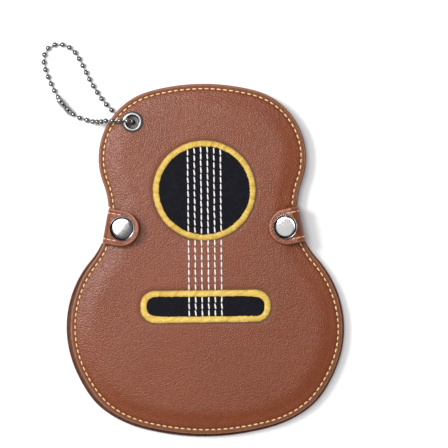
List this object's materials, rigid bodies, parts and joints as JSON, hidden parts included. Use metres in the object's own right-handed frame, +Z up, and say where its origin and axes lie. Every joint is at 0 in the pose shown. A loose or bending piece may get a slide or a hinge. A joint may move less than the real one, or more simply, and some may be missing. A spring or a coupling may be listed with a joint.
{
  "type": "pick holder",
  "caption": "Flat guitar-shaped leather case for plectrums, with a stitched cover, slotted inner panel, snap tabs and a ball chain through an eyelet.",
  "frame": {"origin": "on the table, under the centre of the holder without its chain", "axes": "+Y towards the head end of the guitar shape, +X to the right seen from the front, +Z up off the table"},
  "size_m": [0.1345, 0.1771, 0.0155],
  "materials": {
    "leather": "fine pebbled grain, satin, darker burnished edges",
    "lining": "smooth plain lining leather",
    "tan_thread": "tan polyester thread, single row of stitches",
    "white_thread": "white polyester thread",
    "yellow_satin": "satin-stitch embroidery, shiny yellow thread",
    "black_twill": "black twill patch",
    "nickel": "dark nickel plate, polished",
    "snap_steel": "bright polished snap cap"
  },
  "bodies": {
    "holder": {"back_leather": "leather", "cover_leather_upper": "leather", "slot_panel": "leather", "cover_lining_upper": "lining", "slot_threads": "tan_thread", "back_seam_thread": "tan_thread", "cover_seam_thread_upper": "tan_thread", "back_eyelet": "nickel", "back_eyelet_washer": "nickel", "cover_eyelet": "nickel", "cover_eyelet_washer": "nickel", "soundhole_patch": "black_twill", "soundhole_border": "yellow_satin", "string_threads_upper": "white_thread", "left_tab_root": "leather", "left_stud": "nickel", "left_stud_post": "nickel", "right_tab_root": "leather", "right_stud": "nickel", "right_stud_post": "nickel"},
    "cover_flap": {"cover_leather_lower": "leather", "cover_lining_lower": "lining", "cover_seam_thread_lower": "tan_thread", "bridge_patch": "black_twill", "bridge_border": "yellow_satin", "string_threads_lower": "white_thread"},
    "left_tab_base": {"left_tab_outer_base": "leather", "left_tab_inner_base": "leather"},
    "left_tab_end": {"left_tab_outer_end": "leather", "left_tab_inner_end": "leather", "left_tab_thread": "tan_thread", "left_snap_cap": "snap_steel", "left_snap_socket": "nickel"},
    "right_tab_base": {"right_tab_outer_base": "leather", "right_tab_inner_base": "leather"},
    "right_tab_end": {"right_tab_outer_end": "leather", "right_tab_inner_end": "leather", "right_tab_thread": "tan_thread", "right_snap_cap": "snap_steel", "right_snap_socket": "nickel"},
    "ball_chain": {"chain_balls": "nickel", "chain_links": "nickel", "chain_coupling": "nickel"}
  },
  "joints": [
    {"name": "cover_fold", "type": "hinge", "parent": "holder", "child": "cover_flap", "pos_m": [0.00011, -0.00267, 0.01387], "axis": [-1, -0.0001, 0.009], "range_deg": [0, 110]},
    {"name": "left_tab_fold", "type": "hinge", "parent": "holder", "child": "left_tab_base", "pos_m": [-0.04249, 0.01517, 0.0042], "axis": [-0.1393, -0.9901, -0.0179], "range_deg": [0, 90]},
    {"name": "left_tab_turn", "type": "hinge", "parent": "left_tab_base", "child": "left_tab_end", "pos_m": [-0.04242, 0.01501, 0.01229], "axis": [-0.1393, -0.9901, -0.0179], "range_deg": [0, 90]},
    {"name": "right_tab_fold", "type": "hinge", "parent": "holder", "child": "right_tab_base", "pos_m": [0.04252, 0.01517, 0.00343], "axis": [-0.1391, 0.9901, 0.0204], "range_deg": [0, 90]},
    {"name": "right_tab_turn", "type": "hinge", "parent": "right_tab_base", "child": "right_tab_end", "pos_m": [0.0426, 0.01502, 0.01153], "axis": [-0.1391, 0.9901, 0.0204], "range_deg": [0, 90]},
    {"name": "chain_swing", "type": "hinge", "parent": "holder", "child": "ball_chain", "pos_m": [-0.0315, 0.0619, 0.0012], "axis": [0, 0, 1], "range_deg": [-40, 5]}
  ],
  "couplings": [
    {"joint": "left_tab_turn", "follows": "left_tab_fold", "ratio": 1},
    {"joint": "right_tab_turn", "follows": "right_tab_fold", "ratio": 1}
  ]
}
